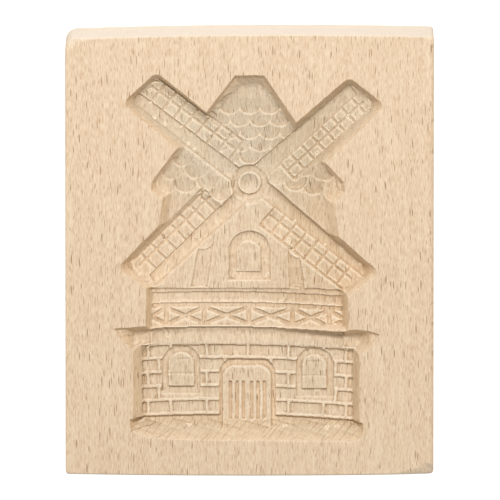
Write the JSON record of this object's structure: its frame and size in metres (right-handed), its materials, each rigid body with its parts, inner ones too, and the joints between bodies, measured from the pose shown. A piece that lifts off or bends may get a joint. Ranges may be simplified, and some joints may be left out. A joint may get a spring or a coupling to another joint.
{
  "type": "cookie mould",
  "caption": "Wooden block with a windmill carved into one face, for pressing figures on biscuit dough.",
  "frame": {"origin": "middle of the flat back", "axes": "+Z out of the carved face, +Y to the top of the picture, +X to the picture's right"},
  "size_m": [0.099, 0.12, 0.02],
  "materials": {
    "beech": "bare sanded beech, the carving left as cut"
  },
  "bodies": {
    "root": {"mould_block": "beech"}
  },
  "joints": []
}
